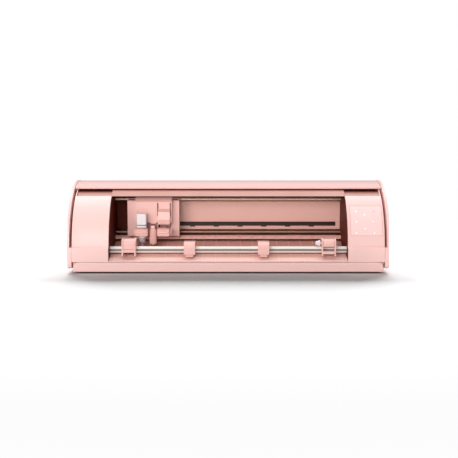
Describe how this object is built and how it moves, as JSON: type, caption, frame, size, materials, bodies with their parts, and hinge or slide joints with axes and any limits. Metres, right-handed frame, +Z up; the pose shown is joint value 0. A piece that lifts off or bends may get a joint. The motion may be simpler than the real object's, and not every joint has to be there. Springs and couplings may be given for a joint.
{
  "type": "vinyl cutter",
  "caption": "Desktop vinyl cutter with curved sliding lid, pinch-roller feed, two-tool carriage on rails and pull-out roll drawer.",
  "frame": {"origin": "bottom centre of the box, on the surface the feet stand on", "axes": "+X to the right seen from the front, +Y to the back, +Z up; the work opening faces -Y"},
  "size_m": [0.57, 0.195, 0.16],
  "materials": {
    "pink_plastic": "satin moulded",
    "tray_plastic": "satin moulded",
    "dark_plastic": "matt",
    "rubber": "matt",
    "steel": "ground",
    "bright_steel": "polished",
    "panel_film": "semi-gloss film",
    "lamp_white": "lit lens",
    "lamp_blue": "lit lens",
    "frame_metal": "powder coat",
    "bronze": "sintered",
    "motor_metal": "machined",
    "nylon": "moulded",
    "board": "solder mask",
    "white_plastic": "satin",
    "roller_tube": "satin"
  },
  "bodies": {
    "base": {"base_tray": "tray_plastic", "rubber_feet": "rubber", "frame_screws": "steel", "rear_cover": "pink_plastic", "header": "pink_plastic", "left_end_cap": "pink_plastic", "right_end_cap": "pink_plastic", "left_front_cover": "pink_plastic", "right_front_cover": "pink_plastic", "touch_panel": "panel_film", "indicator_lights": "lamp_white", "power_light": "lamp_blue", "bay_frames": "frame_metal", "shaft_bushes": "bronze", "front_apron": "pink_plastic", "media_guide": "pink_plastic", "cutting_strip": "dark_plastic", "exit_lip": "pink_plastic", "carriage_beam": "pink_plastic", "upper_rail": "steel", "lower_rail": "steel", "pinch_bar": "bright_steel", "carriage_motor": "motor_metal", "drive_belt": "rubber", "feed_motor": "motor_metal", "control_board": "board", "rear_sockets": "dark_plastic", "left_outer_housing": "pink_plastic", "left_middle_housing": "pink_plastic", "right_middle_housing": "pink_plastic"},
    "lid": {"lid_shell": "pink_plastic"},
    "drawer": {"drawer_front": "pink_plastic", "drawer_tray": "tray_plastic"},
    "front_roller": {"front_support_roller": "roller_tube"},
    "rear_roller": {"rear_support_roller": "roller_tube"},
    "feed_shaft": {"grit_shaft": "steel", "feed_gear": "nylon"},
    "pinion": {"motor_pinion": "bronze"},
    "left_outer_wheel": {"left_outer_wheel": "rubber"},
    "left_middle_wheel": {"left_middle_wheel": "rubber"},
    "right_middle_wheel": {"right_middle_wheel": "rubber"},
    "right_outer_wheel": {"right_outer_wheel": "rubber"},
    "right_unit": {"right_outer_housing": "pink_plastic"},
    "left_hood": {"left_outer_hood": "pink_plastic"},
    "right_hood": {"right_outer_hood": "pink_plastic"},
    "left_latch": {"left_middle_latch": "pink_plastic"},
    "right_latch": {"right_middle_latch": "pink_plastic"},
    "knob": {"release_knob": "white_plastic"},
    "carriage": {"carriage_plate": "frame_metal", "rail_bushes": "bronze", "carriage_cover": "pink_plastic"},
    "depth_wheel": {"depth_wheel": "pink_plastic"},
    "tool_1": {"tool_1_holder": "pink_plastic", "blade_tool": "white_plastic", "blade_tip": "white_plastic"},
    "clamp_1": {"tool_1_clamp": "pink_plastic"},
    "tool_2": {"tool_2_holder": "pink_plastic"},
    "clamp_2": {"tool_2_clamp": "pink_plastic"},
    "drive_pulley": {"drive_pulley": "motor_metal"},
    "idler_pulley": {"idler_pulley": "motor_metal"}
  },
  "joints": [
    {"name": "lid_turn", "type": "hinge", "parent": "base", "child": "lid", "pos_m": [0, 0.0225, 0.04], "axis": [1, 0, 0], "range_deg": [0, 62]},
    {"name": "drawer_slide", "type": "slide", "parent": "base", "child": "drawer", "axis": [0, -1, 0], "range_m": [0, 0.095]},
    {"name": "front_roller_spin", "type": "hinge", "parent": "drawer", "child": "front_roller", "pos_m": [0, -0.0595, 0.0115], "axis": [1, 0, 0], "continuous": true},
    {"name": "rear_roller_spin", "type": "hinge", "parent": "drawer", "child": "rear_roller", "pos_m": [0, -0.0055, 0.0115], "axis": [1, 0, 0], "continuous": true},
    {"name": "feed_spin", "type": "hinge", "parent": "base", "child": "feed_shaft", "pos_m": [0, -0.058, 0.0255], "axis": [1, 0, 0], "continuous": true},
    {"name": "pinion_spin", "type": "hinge", "parent": "base", "child": "pinion", "pos_m": [0.238, -0.0387, 0.0255], "axis": [1, 0, 0], "continuous": true},
    {"name": "left_outer_wheel_spin", "type": "hinge", "parent": "base", "child": "left_outer_wheel", "pos_m": [-0.177, -0.058, 0.0373], "axis": [1, 0, 0], "continuous": true},
    {"name": "left_middle_wheel_spin", "type": "hinge", "parent": "base", "child": "left_middle_wheel", "pos_m": [-0.069, -0.058, 0.0373], "axis": [1, 0, 0], "continuous": true},
    {"name": "right_middle_wheel_spin", "type": "hinge", "parent": "base", "child": "right_middle_wheel", "pos_m": [0.063, -0.058, 0.0373], "axis": [1, 0, 0], "continuous": true},
    {"name": "right_unit_slide", "type": "slide", "parent": "base", "child": "right_unit", "axis": [1, 0, 0], "range_m": [-0.05, 0]},
    {"name": "right_outer_wheel_spin", "type": "hinge", "parent": "right_unit", "child": "right_outer_wheel", "pos_m": [0.179, -0.058, 0.0373], "axis": [1, 0, 0], "continuous": true},
    {"name": "left_hood_lift", "type": "hinge", "parent": "base", "child": "left_hood", "pos_m": [-0.177, -0.063, 0.057], "axis": [-1, 0, 0], "range_deg": [0, 45]},
    {"name": "right_hood_lift", "type": "hinge", "parent": "right_unit", "child": "right_hood", "pos_m": [0.179, -0.063, 0.057], "axis": [-1, 0, 0], "range_deg": [0, 45]},
    {"name": "left_latch_swing", "type": "hinge", "parent": "base", "child": "left_latch", "pos_m": [-0.069, -0.0838, 0.0375], "axis": [1, 0, 0], "range_deg": [0, 25]},
    {"name": "right_latch_swing", "type": "hinge", "parent": "base", "child": "right_latch", "pos_m": [0.063, -0.0838, 0.0375], "axis": [1, 0, 0], "range_deg": [0, 25]},
    {"name": "knob_press", "type": "slide", "parent": "right_unit", "child": "knob", "axis": [1, 0, 0], "range_m": [0, 0.002], "stiffness_N_per_m": 300},
    {"name": "carriage_slide", "type": "slide", "parent": "base", "child": "carriage", "axis": [1, 0, 0], "range_m": [-0.022, 0.3]},
    {"name": "depth_wheel_turn", "type": "hinge", "parent": "carriage", "child": "depth_wheel", "pos_m": [-0.138, -0.034, 0.06], "axis": [0, 0, 1], "range_deg": [-170, 170]},
    {"name": "tool_1_lift", "type": "slide", "parent": "carriage", "child": "tool_1", "axis": [0, 0, 1], "range_m": [-0.003, 0]},
    {"name": "clamp_1_swing", "type": "hinge", "parent": "tool_1", "child": "clamp_1", "pos_m": [-0.171, -0.0372, 0.068], "axis": [0, 0, -1], "range_deg": [0, 70]},
    {"name": "tool_2_lift", "type": "slide", "parent": "carriage", "child": "tool_2", "axis": [0, 0, 1], "range_m": [-0.003, 0]},
    {"name": "clamp_2_swing", "type": "hinge", "parent": "tool_2", "child": "clamp_2", "pos_m": [-0.105, -0.0372, 0.068], "axis": [0, 0, 1], "range_deg": [0, 70]},
    {"name": "drive_pulley_spin", "type": "hinge", "parent": "base", "child": "drive_pulley", "pos_m": [-0.236, 0.034, 0.133], "axis": [0, 0, 1], "range_deg": [-200, 2600]},
    {"name": "idler_pulley_spin", "type": "hinge", "parent": "base", "child": "idler_pulley", "pos_m": [0.236, 0.034, 0.133], "axis": [0, 0, 1], "range_deg": [-200, 2600]}
  ],
  "couplings": [
    {"joint": "pinion_spin", "follows": "feed_spin", "ratio": -3},
    {"joint": "left_outer_wheel_spin", "follows": "feed_spin", "ratio": -0.91667},
    {"joint": "left_middle_wheel_spin", "follows": "feed_spin", "ratio": -0.91667},
    {"joint": "right_middle_wheel_spin", "follows": "feed_spin", "ratio": -0.91667},
    {"joint": "right_outer_wheel_spin", "follows": "feed_spin", "ratio": -0.91667},
    {"joint": "drive_pulley_spin", "follows": "carriage_slide", "rad_per_m": 149.25},
    {"joint": "idler_pulley_spin", "follows": "carriage_slide", "rad_per_m": 149.25}
  ]
}
